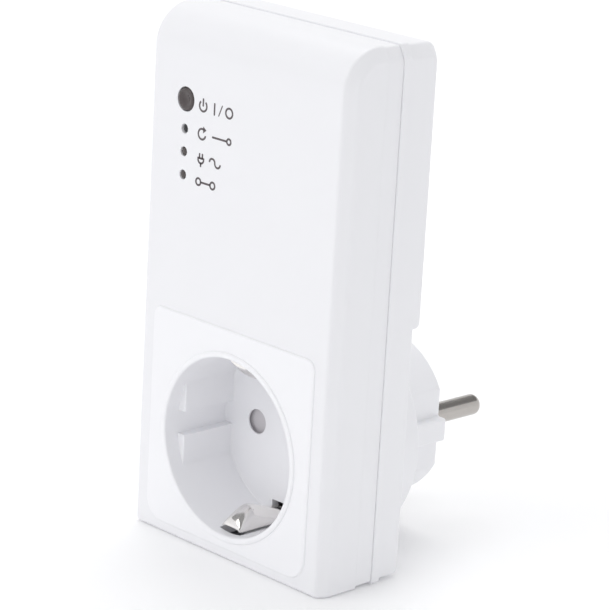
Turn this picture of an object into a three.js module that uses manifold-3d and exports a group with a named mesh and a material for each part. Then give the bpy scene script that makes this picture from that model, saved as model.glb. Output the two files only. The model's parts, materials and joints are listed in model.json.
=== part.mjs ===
// Powerline network adapter with a pass-through earthed socket and an earthed plug on its back.
// Millimetres. Origin: centre of the plug's face, between its two pins.
// +Y runs along the pins into the wall socket, +Z is up, and the socket side faces -Y.
import * as THREE from "three";
import { mergeVertices } from "three/addons/utils/BufferGeometryUtils.js";
import Module from "manifold-3d";

// ---- Driving dimensions -------------------------------------------------------------------
const GAP = 0.3; // clearance kept between pieces that touch

// Case
const HALF_WIDTH = 30.5;
const BOTTOM = -25.5;
const TOP = 92.5;
const FRONT = -49;
const REAR_LOWER = -24.7; // rear wall around the plug
const REAR_UPPER = -22.7; // rear wall of the thicker electronics block
const REAR_STEP_Z = 30.4; // where the rear wall steps out
const REAR_STEP_INSET = 0.5; // the rear shell is this much smaller behind its rim
const REAR_RIM = -31;
const SEAM_FRONT = -38; // front cover to middle band
const SEAM_REAR = -33.3; // middle band to back cover
const WALL = 2.2;
const CORNER = 3;
const TOP_FILLET = 9.3;
const SMALL_ROUND = 0.9;
const EDGE_SOFT = { across: 1.6, deep: 2.9 }; // softened upright front edges
const TONGUE = { outer: WALL + GAP, inner: WALL + 1, front: -39.6, rear: -31.6 };

// Screw posts that join the two covers
const POST = { x: 24.2, low: -19.2, high: 86.2, radius: 2.5, pilot: 1.7, rear: -31.3 };
const SCREW = { head: 2.6, shank: 1.4, seat: -27.4, tip: -38.5, bossRadius: 3.6 };

// Socket on the front
const PLATE = { x: 25.5, low: -23.1, high: 26.3, proud: 0.35, recess: 1.35, lowRound: 5, highRound: 2.5 };
const RECESS_R = 19.9;
const CUP_R = 21.9;
const RIM = { radius: 21.3, proud: 0.75 };
const SOCKET_FLOOR = FRONT + 17.4;
const FLOOR_BACK = SOCKET_FLOOR + 2;
const LEDGE = { x: 17.5, y: FRONT + 3, grooveZ: 2.75 }; // side flats and the guide grooves in them
const PIN_X = 9.5; // pins and pin holes are at plus and minus this
const PIN_HOLE_R = 2.85;
const SHUTTER_POCKET = { radius: 14.9, front: SOCKET_FLOOR + 0.9 }; // where the floor is thinned from behind
const EARTH_SLOT = { x: 3.3, front: -47.2, floorIn: 16.4, floorOut: 18.9, out: 22.6 };

// Plug on the back
const PLUG_R = 18.6;
const PLUG_FLAT_X = 16.4;
const PLUG_EDGE = 1;
const RIB = { x: 18.7, z: 2.6 };
const PLATEAU = { radius: 26.2, low: -24.4, face: -16.4, inner: 22.6, wall: 2.2 }; // a round, cut flat at low
const PLUG_FLANGE = { radius: 21.8, front: -21.3, rear: -18.9 };
const PLUG_FACE_THICK = 3.2;
const PIN = { radius: 2.4, length: 19, inner: -10, flange: 3.6 };
const STRIP = { halfWidth: 3, low: 15.75, high: 16.5, front: -23.3, rear: -1.5 };

// Shutter and contacts behind the socket's floor
const SHUTTER = { radius: 14.6, front: -30.35, rear: -28.95, bore: 2.3, hole: 3.2, turn: 40 };
const PIVOT = { radius: 1.9, end: -25.3 };
const CARRIER = { radius: 16, front: -27.5, rear: -26.1, tower: 4.4, bore: 3.5, end: -12.6 };
const CONTACT = { inner: 2.45, outer: 3.2, front: -25.7, rear: -13.1 };
const CLIP = { halfWidth: 2.9, half: 0.3, root: -28.6, rootR: 17.6, ridge: -42, ridgeR: 14.9, tip: -46.7, tipR: 18.6 };

// Circuit board and what the front panel shows
const BOARD = { x: 27, low: 24.5, high: 88.5, front: -30.6, rear: -29 };
const CONTROL_X = -18.4;
const BUTTON = { z: 73.45, hole: 2.9, radius: 2.6, face: FRONT - 0.1 };
const REBOOT_Z = 67;
const POWER_LAMP_Z = 62;
const LINK_LAMP_Z = 56.9;
const LAMP_HOLE_R = 1.15;
const JACK = { mouth: -29.9, back: -9, z: 42, halfZ: 8, front: -44.4 };

// ---- Solid helpers --------------------------------------------------------------------------
const wasm = await Module();
wasm.setup();

const ROUND = 48; // sides of the large rounds
const FINE = 16; // sides of the small ones
const ARC = 2; // curve divisions of a drawn outline, which make four straight lines in a quarter turn

// A closed three.js geometry as a solid; a profile drawn the other way round is turned over.
function solid(geometry) {
  const bare = geometry.clone();
  bare.deleteAttribute("normal");
  bare.deleteAttribute("uv");
  const merged = mergeVertices(bare, 1e-4);
  const corners = new Uint32Array(merged.index.array);
  const build = () =>
    new wasm.Manifold(
      new wasm.Mesh({ numProp: 3, vertProperties: merged.attributes.position.array, triVerts: corners }),
    );
  const made = build();
  if (made.volume() > 0) return made;
  for (let i = 0; i < corners.length; i += 3) [corners[i + 1], corners[i + 2]] = [corners[i + 2], corners[i + 1]];
  return build();
}

function join(...solids) {
  return solids.reduce((all, next) => all.add(next));
}

function cut(from, ...tools) {
  return tools.reduce((rest, tool) => rest.subtract(tool), from);
}

function box([x0, x1], [y0, y1], [z0, z1]) {
  const block = new THREE.BoxGeometry(x1 - x0, y1 - y0, z1 - z0);
  return solid(block.translate((x0 + x1) / 2, (y0 + y1) / 2, (z0 + z1) / 2));
}

// A round bar along Y.
function bar(radius, y0, y1, x = 0, z = 0, sides = FINE) {
  const round = new THREE.CylinderGeometry(radius, radius, y1 - y0, sides);
  return solid(round.translate(x, (y0 + y1) / 2, z));
}

// A solid of revolution about a line along Y; the profile is a list of [radius, y].
function turned(profile, x = 0, z = 0, sides = ROUND) {
  const points = profile.map(([r, y]) => new THREE.Vector2(r, y));
  return solid(new THREE.LatheGeometry(points, sides).translate(x, 0, z));
}

function extruded(shape, depth, curveSegments) {
  return new THREE.ExtrudeGeometry(shape, { depth, bevelEnabled: false, curveSegments });
}

// The three extrusions: a shape drawn in (y, z), (x, z) or (x, y), pushed along the third axis.
function alongX(shape, x0, x1, curveSegments = ARC) {
  const turn = new THREE.Matrix4().set(0, 0, 1, x0, 1, 0, 0, 0, 0, 1, 0, 0, 0, 0, 0, 1);
  return solid(extruded(shape, x1 - x0, curveSegments).applyMatrix4(turn));
}

function alongY(shape, y0, y1, curveSegments = ARC) {
  return solid(extruded(shape, y1 - y0, curveSegments).rotateX(Math.PI / 2).translate(0, y1, 0));
}

function alongZ(shape, z0, z1, curveSegments = ARC) {
  return solid(extruded(shape, z1 - z0, curveSegments).translate(0, 0, z0));
}

function polygon(...points) {
  return new THREE.Shape(points.map(([u, v]) => new THREE.Vector2(u, v)));
}

function roundedRect(u0, u1, v0, v1, lowRound, highRound = lowRound) {
  const shape = new THREE.Shape();
  shape.moveTo(u0 + lowRound, v0);
  shape.absarc(u1 - lowRound, v0 + lowRound, lowRound, -Math.PI / 2, 0);
  shape.absarc(u1 - highRound, v1 - highRound, highRound, 0, Math.PI / 2);
  shape.absarc(u0 + highRound, v1 - highRound, highRound, Math.PI / 2, Math.PI);
  shape.absarc(u0 + lowRound, v0 + lowRound, lowRound, Math.PI, 1.5 * Math.PI);
  return shape;
}

// A bent strip of even thickness in the (y, r) plane, mirrored below the axis where side is -1.
function bentStrip(path, half, halfWidth, side) {
  const normals = path.map((_, i) => {
    const before = path[Math.max(i - 1, 0)];
    const after = path[Math.min(i + 1, path.length - 1)];
    return new THREE.Vector2(before[1] - after[1], after[0] - before[0]).normalize().multiplyScalar(half);
  });
  const outer = path.map(([y, r], i) => [y + normals[i].x, side * (r + normals[i].y)]);
  const inner = path.map(([y, r], i) => [y - normals[i].x, side * (r - normals[i].y)]);
  return alongX(polygon(...outer, ...inner.reverse()), -halfWidth, halfWidth);
}

const forX = [-1, 1];

// The stretch from near to far on one side of the axis, lowest value first.
function span(side, near, far) {
  return side > 0 ? [near, far] : [-far, -near];
}

// ---- Case -----------------------------------------------------------------------------------
function frontOutline(inset) {
  const corner = Math.max(CORNER - inset, 0.6);
  return roundedRect(-HALF_WIDTH + inset, HALF_WIDTH - inset, BOTTOM + inset, TOP - inset, corner);
}

function sideOutline(inset, rearInset) {
  const [front, low, high] = [FRONT + inset, BOTTOM + inset, TOP - inset];
  const [lower, upper] = [REAR_LOWER - rearInset, REAR_UPPER - rearInset];
  const fillet = TOP_FILLET - inset;
  const step = REAR_STEP_Z + rearInset;
  const r = SMALL_ROUND;
  const shape = new THREE.Shape();
  shape.moveTo(front + r, low);
  shape.absarc(lower - r, low + r, r, -Math.PI / 2, 0);
  shape.lineTo(lower, step);
  shape.absarc(upper - r, step + r, r, -Math.PI / 2, 0);
  shape.absarc(upper - 2 * r, high - 2 * r, 2 * r, 0, Math.PI / 2);
  shape.absarc(front + fillet, high - fillet, fillet, Math.PI / 2, Math.PI);
  shape.absarc(front + r, low + r, r, Math.PI, 1.5 * Math.PI);
  return shape;
}

function planOutline(inset) {
  const [side, front, rear] = [HALF_WIDTH - inset, FRONT + inset, REAR_UPPER + 1];
  const shape = new THREE.Shape();
  shape.moveTo(side, rear);
  shape.lineTo(-side, rear);
  shape.lineTo(-side, front + EDGE_SOFT.deep);
  shape.quadraticCurveTo(-side + 0.4, front + 0.7, -side + EDGE_SOFT.across, front);
  shape.lineTo(side - EDGE_SOFT.across, front);
  shape.quadraticCurveTo(side - 0.4, front + 0.7, side, front + EDGE_SOFT.deep);
  return shape;
}

// The whole case's outer form, with its sides and top made smaller by inset.
function envelope(inset) {
  return alongY(frontOutline(inset), FRONT + inset - 1, REAR_UPPER + 1)
    .intersect(alongX(sideOutline(inset, 0), -HALF_WIDTH - 1, HALF_WIDTH + 1))
    .intersect(alongZ(planOutline(inset), BOTTOM - 1, TOP + 1));
}

function slice(body, y0, y1) {
  return body.intersect(box([-60, 60], [y0, y1], [-60, 120]));
}

function ring(outerInset, innerInset, y0, y1) {
  return alongY(frontOutline(outerInset), y0, y1).subtract(alongY(frontOutline(innerInset), y0 - 1, y1 + 1));
}

const postPlaces = forX.flatMap((side) => [POST.low, POST.high].map((z) => [side * POST.x, z]));
const hollow = alongX(sideOutline(WALL, WALL), WALL - HALF_WIDTH, HALF_WIDTH - WALL);
const jackWindow = box(
  [-HALF_WIDTH - 1, -HALF_WIDTH + WALL + 4],
  [JACK.front - GAP, BOARD.front],
  [JACK.z - JACK.halfZ - GAP, JACK.z + JACK.halfZ + GAP],
);

function frontCover() {
  const shell = slice(envelope(0), FRONT - 1, SEAM_FRONT - GAP / 2).subtract(hollow);
  const insideSkin = envelope(1);
  const posts = postPlaces.map(([x, z]) => bar(POST.radius, FRONT + 1, POST.rear, x, z).intersect(insideSkin));
  const plateSeat = roundedRect(
    -PLATE.x - GAP,
    PLATE.x + GAP,
    PLATE.low - GAP,
    PLATE.high + GAP,
    PLATE.lowRound + GAP,
    PLATE.highRound + GAP,
  );
  const pilots = postPlaces.map(([x, z]) => bar(POST.pilot, FRONT + WALL + 4, POST.rear + 1, x, z, 12));
  const lampHoles = [REBOOT_Z, POWER_LAMP_Z, LINK_LAMP_Z].map((z) =>
    bar(LAMP_HOLE_R, FRONT - 1, FRONT + WALL + 1, CONTROL_X, z),
  );
  return cut(
    join(shell, ...posts),
    alongY(plateSeat, FRONT - 1, FRONT + PLATE.recess),
    bar(CUP_R + GAP, FRONT - 1, FRONT + 4, 0, 0, ROUND),
    bar(BUTTON.hole, FRONT - 1, FRONT + WALL + 1, CONTROL_X, BUTTON.z),
    ...lampHoles,
    ...pilots,
    jackWindow,
  );
}

function middleBand() {
  const skin = ring(0.2, WALL + 0.1, SEAM_FRONT + GAP / 2, SEAM_REAR - GAP / 2);
  const web = ring(WALL, TONGUE.inner, SEAM_FRONT + 0.8, SEAM_REAR - 0.8);
  const tongue = ring(TONGUE.outer, TONGUE.inner, TONGUE.front, TONGUE.rear);
  return cut(join(skin, web, tongue), jackWindow);
}

// The plug's outline across its axis, made larger all round by grow: a round with two side
// flats, and a guide rib standing out of each flat.
function plugOutline(grow, y0, y1) {
  const flats = box([-PLUG_FLAT_X - grow, PLUG_FLAT_X + grow], [y0 - 1, y1 + 1], [-30, 30]);
  const ribs = box([-RIB.x - grow, RIB.x + grow], [y0 - 1, y1 + 1], [-RIB.z - grow, RIB.z + grow]);
  return bar(PLUG_R + grow, y0, y1, 0, 0, ROUND).intersect(flats.add(ribs));
}

function backCover() {
  const rim = slice(envelope(0), SEAM_REAR + GAP / 2, REAR_RIM);
  const body = slice(envelope(REAR_STEP_INSET), SEAM_REAR + GAP / 2, 0);
  const { radius, face, inner, wall } = PLATEAU;
  const plateau = turned([
    [0, REAR_LOWER - 1],
    [radius, REAR_LOWER - 1],
    [radius, face - 0.8],
    [radius - 0.25, face - 0.25],
    [radius - 0.8, face],
    [0, face],
  ]).intersect(box([-30, 30], [-40, 0], [PLATEAU.low, 30]));
  const bosses = postPlaces.map(([x, z]) => bar(SCREW.bossRadius, POST.rear + GAP, REAR_LOWER - 0.1, x, z));
  const bores = postPlaces.flatMap(([x, z]) => [
    bar(SCREW.shank + GAP, -35, SCREW.seat + 1, x, z, 12),
    bar(SCREW.head + GAP, SCREW.seat, 0, x, z),
  ]);
  const shell = join(rim, body, plateau).subtract(hollow);
  const well = bar(inner, REAR_LOWER - 5, face - wall, 0, 0, ROUND);
  return cut(join(shell.subtract(well), ...bosses), plugOutline(GAP, face - 4, face + 1), ...bores, jackWindow);
}

function caseScrew(x, z) {
  const { head, shank, seat, tip } = SCREW;
  const body = turned(
    [
      [0, tip],
      [shank * 0.5, tip + 0.6],
      [shank, tip + 2],
      [shank, seat + GAP],
      [head, seat + GAP],
      [head, seat + 1.5],
      [head * 0.7, seat + 2.1],
      [0, seat + 2.2],
    ],
    x,
    z,
    12,
  );
  const slot = (wide, tall) => box([x - wide, x + wide], [seat + 1.1, seat + 3], [z - tall, z + tall]);
  return cut(body, slot(1.5, 0.3), slot(0.3, 1.5));
}

// ---- Socket ---------------------------------------------------------------------------------
function socketInsert() {
  const plateShape = roundedRect(-PLATE.x, PLATE.x, PLATE.low, PLATE.high, PLATE.lowRound, PLATE.highRound);
  const plate = alongY(plateShape, FRONT - PLATE.proud, FRONT + PLATE.recess - GAP);
  const rimTop = FRONT - RIM.proud;
  const cup = turned([
    [0, rimTop],
    [RIM.radius - 0.5, rimTop],
    [RIM.radius, rimTop + 0.4],
    [RIM.radius, FRONT + 0.5],
    [CUP_R, FRONT + 0.6],
    [CUP_R, FLOOR_BACK],
    [0, FLOOR_BACK],
  ]);
  const mouth = bar(RECESS_R, FRONT - 2, LEDGE.y, 0, 0, ROUND);
  const between = box([-LEDGE.x, LEDGE.x], [LEDGE.y - 1, SOCKET_FLOOR], [-30, 30]);
  const grooves = box([-30, 30], [LEDGE.y - 1, SOCKET_FLOOR], [-LEDGE.grooveZ, LEDGE.grooveZ]);
  const depth = bar(RECESS_R, LEDGE.y - 1, SOCKET_FLOOR, 0, 0, ROUND).intersect(between.add(grooves));
  const pinHoles = forX.map((side) => bar(PIN_HOLE_R, SOCKET_FLOOR - 1, FLOOR_BACK + 1, side * PIN_X, 0, 24));
  const pocket = bar(SHUTTER_POCKET.radius, SHUTTER_POCKET.front, FLOOR_BACK + 1, 0, 0, ROUND);
  const { x, front, floorIn, floorOut, out } = EARTH_SLOT;
  const earthSlots = forX.flatMap((side) => [
    box([-x, x], [front, SOCKET_FLOOR], span(side, floorIn, out)),
    box([-x, x], [front, FLOOR_BACK + 1], span(side, floorIn, floorOut)),
  ]);
  const pivot = bar(PIVOT.radius, SHUTTER_POCKET.front - 0.4, PIVOT.end);
  return join(cut(join(plate, cup), mouth, depth, pocket, ...pinHoles, ...earthSlots), pivot);
}

function earthClip(side) {
  const path = [
    [CLIP.tip, CLIP.tipR],
    [CLIP.ridge - 0.6, CLIP.ridgeR + 0.1],
    [CLIP.ridge + 0.8, CLIP.ridgeR],
    [SOCKET_FLOOR - 0.4, CLIP.rootR],
    [CLIP.root, CLIP.rootR],
  ];
  return bentStrip(path, CLIP.half, CLIP.halfWidth, side);
}

function shutterDisc() {
  const body = bar(SHUTTER.radius, SHUTTER.front, SHUTTER.rear, 0, 0, ROUND);
  const turn = THREE.MathUtils.degToRad(SHUTTER.turn);
  const holes = forX.map((side) =>
    bar(SHUTTER.hole, -40, -20, side * PIN_X * Math.cos(turn), side * PIN_X * Math.sin(turn)),
  );
  return cut(body, bar(SHUTTER.bore, -40, -20), ...holes);
}

// A six-sided wire along a curve, closed at both ends.
function wire(curve, radius, steps) {
  const section = new THREE.Shape().absarc(0, 0, radius, 0, 2 * Math.PI);
  return solid(
    new THREE.ExtrudeGeometry(section, { steps, curveSegments: 3, extrudePath: curve, bevelEnabled: false }),
  );
}

class CoilCurve extends THREE.Curve {
  constructor(radius, turns, from, to) {
    super();
    Object.assign(this, { radius, turns, from, to });
  }
  getPoint(t, target = new THREE.Vector3()) {
    const angle = 2 * Math.PI * this.turns * t;
    const along = THREE.MathUtils.lerp(this.from, this.to, t);
    return target.set(this.radius * Math.cos(angle), along, this.radius * Math.sin(angle));
  }
}

function contactCarrier() {
  const { radius, front, rear, tower, bore, end } = CARRIER;
  const plate = bar(radius, front, rear, 0, 0, ROUND);
  const towers = forX.map((side) => bar(tower, front, end, side * PIN_X, 0, 24));
  const bores = forX.map((side) => bar(bore, rear, 0, side * PIN_X, 0, 24));
  const entries = forX.map((side) => bar(PIN_HOLE_R, front - 1, rear + 1, side * PIN_X, 0, 24));
  const collar = bar(radius, FLOOR_BACK + GAP, front + 0.1, 0, 0, ROUND)
    .subtract(bar(SHUTTER.radius + GAP, -40, -20, 0, 0, ROUND))
    .intersect(box([-30, 30], [-40, -20], [-6, 6]));
  return cut(join(plate, collar, ...towers), ...bores, ...entries, bar(5, -40, -20));
}

function socketContact(x) {
  const { inner, outer, front, rear } = CONTACT;
  const sleeve = bar(outer, front, rear, x, 0, 16).subtract(bar(inner, front - 1, rear - 2, x, 0, 16));
  const slit = box([x - 5, x + 5], [front - 1, rear - 3.5], [-0.4, 0.4]);
  const tail = bar(1.5, rear - 0.5, PIN.inner - GAP, x, 0, 12);
  return join(sleeve.subtract(slit), tail);
}

// ---- Plug -----------------------------------------------------------------------------------
function plugBody() {
  const side = PLUG_FLAT_X;
  const softFlats = polygon(
    [-side, PLUG_FLANGE.front],
    [side, PLUG_FLANGE.front],
    [side, -PLUG_EDGE],
    [side - 0.3, -0.3],
    [side - PLUG_EDGE, 0],
    [PLUG_EDGE - side, 0],
    [0.3 - side, -0.3],
    [-side, -PLUG_EDGE],
  );
  const softRound = turned([
    [0, PLUG_FLANGE.front],
    [PLUG_R, PLUG_FLANGE.front],
    [PLUG_R, -PLUG_EDGE],
    [PLUG_R - 0.3, -0.3],
    [PLUG_R - PLUG_EDGE, 0],
    [0, 0],
  ]);
  const ribs = box([-RIB.x, RIB.x], [PLUG_FLANGE.front, 0], [-RIB.z, RIB.z]);
  const outside = softRound.intersect(alongZ(softFlats, -30, 30).add(ribs));
  const flange = bar(PLUG_FLANGE.radius, PLUG_FLANGE.front, PLUG_FLANGE.rear, 0, 0, ROUND);
  const inside = bar(16.2, PLUG_FLANGE.front - 1, -PLUG_FACE_THICK, 0, 0, ROUND).intersect(
    box([-14.2, 14.2], [-30, 0], [-13.6, 13.6]),
  );
  const pinHoles = forX.map((s) => bar(PIN.radius + GAP, -10, 1, s * PIN_X, 0));
  const grooves = forX.map((s) => {
    const wide = [-STRIP.halfWidth - GAP, STRIP.halfWidth + GAP];
    const channel = box(wide, [-30, 1], span(s, STRIP.low - GAP, 30));
    const hookPocket = box(wide, [STRIP.rear - 0.8 - GAP, STRIP.rear + GAP], span(s, 14, STRIP.low));
    return channel.add(hookPocket);
  });
  return cut(join(outside, flange), inside, ...pinHoles, ...grooves);
}

function plugPin(x) {
  const { radius, length, inner, flange } = PIN;
  return turned(
    [
      [0, inner],
      [radius - 0.4, inner],
      [radius, inner + 0.4],
      [radius, -5.5],
      [flange, -5.5],
      [flange, -PLUG_FACE_THICK - GAP],
      [radius, -PLUG_FACE_THICK - GAP],
      [radius, length - 1.6],
      [radius * 0.87, length - 0.7],
      [radius * 0.5, length - 0.15],
      [0, length],
    ],
    x,
    0,
    24,
  );
}

function plugEarthStrip(side) {
  const { halfWidth, low, high, front, rear } = STRIP;
  const hooked = polygon(
    [front, side * low],
    [rear - 0.8, side * low],
    [rear - 0.8, side * (low - 1.4)],
    [rear, side * (low - 1.4)],
    [rear, side * (high - 0.3)],
    [rear - 0.3, side * high],
    [front, side * high],
  );
  return alongX(hooked, -halfWidth, halfWidth);
}

// The bracket that ties both socket clips to both plug strips.
function earthBracket() {
  const [bridge, thick, reach] = [STRIP.front - GAP, 0.8, 19.2];
  const armInner = CLIP.rootR + CLIP.half + 0.5;
  const upright = box([-2.6, 2.6], [bridge - thick, bridge], [-reach, reach]);
  const arms = forX.map((side) => box([-2.6, 2.6], [FLOOR_BACK + GAP, bridge], span(side, armInner, reach)));
  return join(upright, ...arms);
}

// ---- Controls -------------------------------------------------------------------------------
function onOffButton() {
  const { radius, face, z } = BUTTON;
  return turned(
    [
      [0, face + 0.45],
      [0.9, face + 0.35],
      [1.5, face + 0.05],
      [radius - 0.5, face],
      [radius, face + 0.4],
      [radius, FRONT + WALL + GAP],
      [4, FRONT + WALL + GAP],
      [4, FRONT + WALL + 1.2],
      [1.5, FRONT + WALL + 1.2],
      [1.5, -36],
      [0, -36],
    ],
    CONTROL_X,
    z,
    24,
  );
}

function pushSwitch(z, half, top, bore) {
  const body = box([CONTROL_X - half, CONTROL_X + half], [top, BOARD.front - GAP], [z - half, z + half]);
  return body.subtract(bar(bore, top - 1, top + 2.2, CONTROL_X, z));
}

function lightGuide(z) {
  const profile = [
    [0, -32],
    [1.2, -32],
    [0.9, -33],
    [0.85, FRONT + WALL + 1.3],
    [1.9, FRONT + WALL + 1.3],
    [1.9, FRONT + WALL + GAP],
    [0.85, FRONT + WALL + GAP],
    [0.85, FRONT + 0.45],
    [0.5, FRONT + 0.2],
    [0, FRONT + 0.15],
  ];
  return turned(profile, CONTROL_X, z, 16);
}

// ---- Electronics ----------------------------------------------------------------------------
const ON_BOARD = BOARD.front - GAP; // components on the front of the board end here
const BEHIND_BOARD = BOARD.rear + GAP; // components on its back start here

function mainBoard() {
  const plate = box([-BOARD.x, BOARD.x], [BOARD.front, BOARD.rear], [BOARD.low, BOARD.high]);
  const cornerNotch = (side) =>
    box(span(side, BOARD.x - 7.5, BOARD.x + 1), [-32, -28], [POST.high - 4.5, BOARD.high + 1]);
  const fixing = forX.map((side) => bar(1.2, -32, -28, side * 23, BOARD.low + 4, 12));
  return cut(plate, ...forX.map(cornerNotch), ...fixing);
}

function ethernetJack() {
  const { mouth, back, z, halfZ, front } = JACK;
  const shell = box([mouth, back], [front, ON_BOARD], [z - halfZ, z + halfZ]);
  const plugSpace = box([mouth - 1, -17.5], [-43.3, -36], [z - 5.95, z + 5.95]);
  const latchSpace = box([mouth - 1, -20], [-36.5, -33.4], [z - 3.2, z + 3.2]);
  return cut(shell, plugSpace, latchSpace);
}

// Eight sloping spring wires on one comb at the back of the jack.
function jackContacts() {
  const comb = box([-19.2, -17.8], [-43, -39.9], [JACK.z - 5.2, JACK.z + 5.2]);
  const profile = polygon([-28.2, -42.9], [-19, -40.4], [-19, -39.9], [-19.6, -39.9], [-28.2, -42.45]);
  const pitch = 1.27;
  const wires = Array.from({ length: 8 }, (_, i) => {
    const at = JACK.z + (i - 3.5) * pitch;
    return alongZ(profile, at - 0.22, at + 0.22);
  });
  return join(comb, ...wires);
}

// A leaded block on the front of the board, with a softened top.
function blockPart([x0, x1], height, [z0, z1], soft = 0.8) {
  const top = ON_BOARD - height;
  const body = alongZ(
    polygon([x0, ON_BOARD], [x0, top + soft], [x0 + soft, top], [x1 - soft, top], [x1, top + soft], [x1, ON_BOARD]),
    z0,
    z1,
  );
  return body;
}

function flyback() {
  const [x, z] = [11, 69];
  const core = box([x - 8, x + 8], [-44, -33], [z - 5, z + 5]);
  const winding = bar(6.6, -42, -35, x, z, 24).intersect(box([x - 9, x + 9], [-50, -30], [z - 7.5, z + 7.5]));
  const base = box([x - 8, x + 8], [-33.2, ON_BOARD], [z - 8, z + 8]);
  const window = forX.map((side) => box([x + side * 6 - 0.9, x + side * 6 + 0.9], [-42, -35], [z - 6, z + 6]));
  return join(cut(core, ...window), winding, base);
}

function choke() {
  const [x, z] = [1.5, 31.8];
  const core = bar(6.2, -38.5, ON_BOARD, x, z, 24).subtract(bar(2.6, -50, ON_BOARD - 1.2, x, z, 16));
  return core;
}

function electrolytic(x0, x1, radius, z) {
  const profile = [
    [0, x0],
    [radius - 0.5, x0],
    [radius, x0 + 0.5],
    [radius, x1 - 2.6],
    [radius - 0.6, x1 - 2.1],
    [radius, x1 - 1.6],
    [radius, x1 - 0.4],
    [radius - 0.4, x1],
    [0, x1],
  ].map(([r, along]) => new THREE.Vector2(r, along));
  const can = new THREE.LatheGeometry(profile, 24).rotateZ(-Math.PI / 2);
  return solid(can.translate(0, ON_BOARD - radius, z));
}

function varistor() {
  const disc = new THREE.CylinderGeometry(4.8, 4.8, 3.4, 24).rotateZ(Math.PI / 2);
  return solid(disc.translate(12.2, ON_BOARD - 5, 41));
}

function heatsink() {
  const [x0, x1, z0, z1] = [-12, 8, 58, 78];
  const plate = box([x0, x1], [-27.1, -26.4], [z0, z1]);
  const fins = Array.from({ length: 7 }, (_, i) => {
    const x = x0 + 0.6 + i * ((x1 - x0 - 1.2) / 6);
    return box([x - 0.5, x + 0.5], [-26.5, -25.4], [z0, z1]);
  });
  return join(plate, ...fins);
}

// From a contact's tail in the plug, forward over the plateau's edge, up to the board.
function supplyWire(side) {
  const path = new THREE.CatmullRomCurve3(
    [
      [9.5, -11.2, 2.6],
      [9.5, -11.4, 5.4],
      [9.5, -14.5, 8.5],
      [9.4, -18.5, 10.5],
      [9.2, -22.5, 12.8],
      [9, -25.8, 16.6],
      [8.8, -27.9, 19.8],
      [8.6, -28.1, 23.5],
      [8.4, -28.1, 28.5],
    ].map(([x, y, z]) => new THREE.Vector3(side * x, y, z)),
  );
  return wire(path, 0.75, 24);
}

// ---- Materials ------------------------------------------------------------------------------
const material = (color, roughness, metalness = 0) =>
  new THREE.MeshStandardMaterial({ color, roughness, metalness });
const finish = {
  shell: material(0xf4f4f7, 0.35),
  socket: material(0xeeeef3, 0.4),
  button: material(0x4a4548, 0.35),
  shutter: material(0xa9a9b0, 0.5),
  nickel: material(0xb9b4ae, 0.22, 1),
  brass: material(0xc9a45a, 0.35, 1),
  spring: material(0x9a9aa0, 0.3, 1),
  screw: material(0x8d8f94, 0.35, 1),
  clear: material(0x2a2422, 0.15),
  lamp: material(0xf2e9b8, 0.3),
  board: material(0x1e6b3c, 0.5),
  black: material(0x1b1b1e, 0.5),
  ferrite: material(0x2d2c2e, 0.7),
  copper: material(0xb06a3a, 0.4, 1),
  aluminium: material(0xb8bcc2, 0.35, 1),
  tin: material(0xc0c2c4, 0.3, 1),
  yellow: material(0xd9b23a, 0.45),
  blue: material(0x2f6fb0, 0.5),
  brown: material(0x6b3f22, 0.5),
  ceramic: material(0xdfe0da, 0.5),
};

// ---- Assembly -------------------------------------------------------------------------------
const adapter = new THREE.Group();

function add(name, body, look) {
  const { vertProperties, triVerts, numProp, numVert } = body.getMesh();
  const places = new Float32Array(numVert * 3);
  for (let i = 0; i < numVert; i++) places.set(vertProperties.subarray(i * numProp, i * numProp + 3), i * 3);
  const geometry = new THREE.BufferGeometry();
  geometry.setAttribute("position", new THREE.BufferAttribute(places, 3));
  geometry.setIndex(new THREE.BufferAttribute(triVerts, 1));
  geometry.computeVertexNormals();
  const mesh = new THREE.Mesh(geometry, look);
  mesh.name = name;
  adapter.add(mesh);
}

add("front_cover", frontCover(), finish.shell);
add("middle_band", middleBand(), finish.shell);
add("back_cover", backCover(), finish.shell);
["left_lower", "left_upper", "right_lower", "right_upper"].forEach((place, i) =>
  add(`case_screw_${place}`, caseScrew(...postPlaces[i]), finish.screw),
);

add("socket_insert", socketInsert(), finish.socket);
add("earth_clip_top", earthClip(1), finish.nickel);
add("earth_clip_bottom", earthClip(-1), finish.nickel);
add("shutter_disc", shutterDisc(), finish.shutter);
add("shutter_spring", wire(new CoilCurve(2.9, 3, -28.3, -26.1), 0.22, 36), finish.spring);
add("contact_carrier", contactCarrier(), finish.black);
add("socket_contact_left", socketContact(-PIN_X), finish.brass);
add("socket_contact_right", socketContact(PIN_X), finish.brass);
add("earth_bracket", earthBracket(), finish.tin);

add("plug_body", plugBody(), finish.shell);
add("plug_pin_left", plugPin(-PIN_X), finish.nickel);
add("plug_pin_right", plugPin(PIN_X), finish.nickel);
add("plug_earth_strip_top", plugEarthStrip(1), finish.nickel);
add("plug_earth_strip_bottom", plugEarthStrip(-1), finish.nickel);
add("supply_wire_left", supplyWire(-1), finish.brown);
add("supply_wire_right", supplyWire(1), finish.blue);

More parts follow.
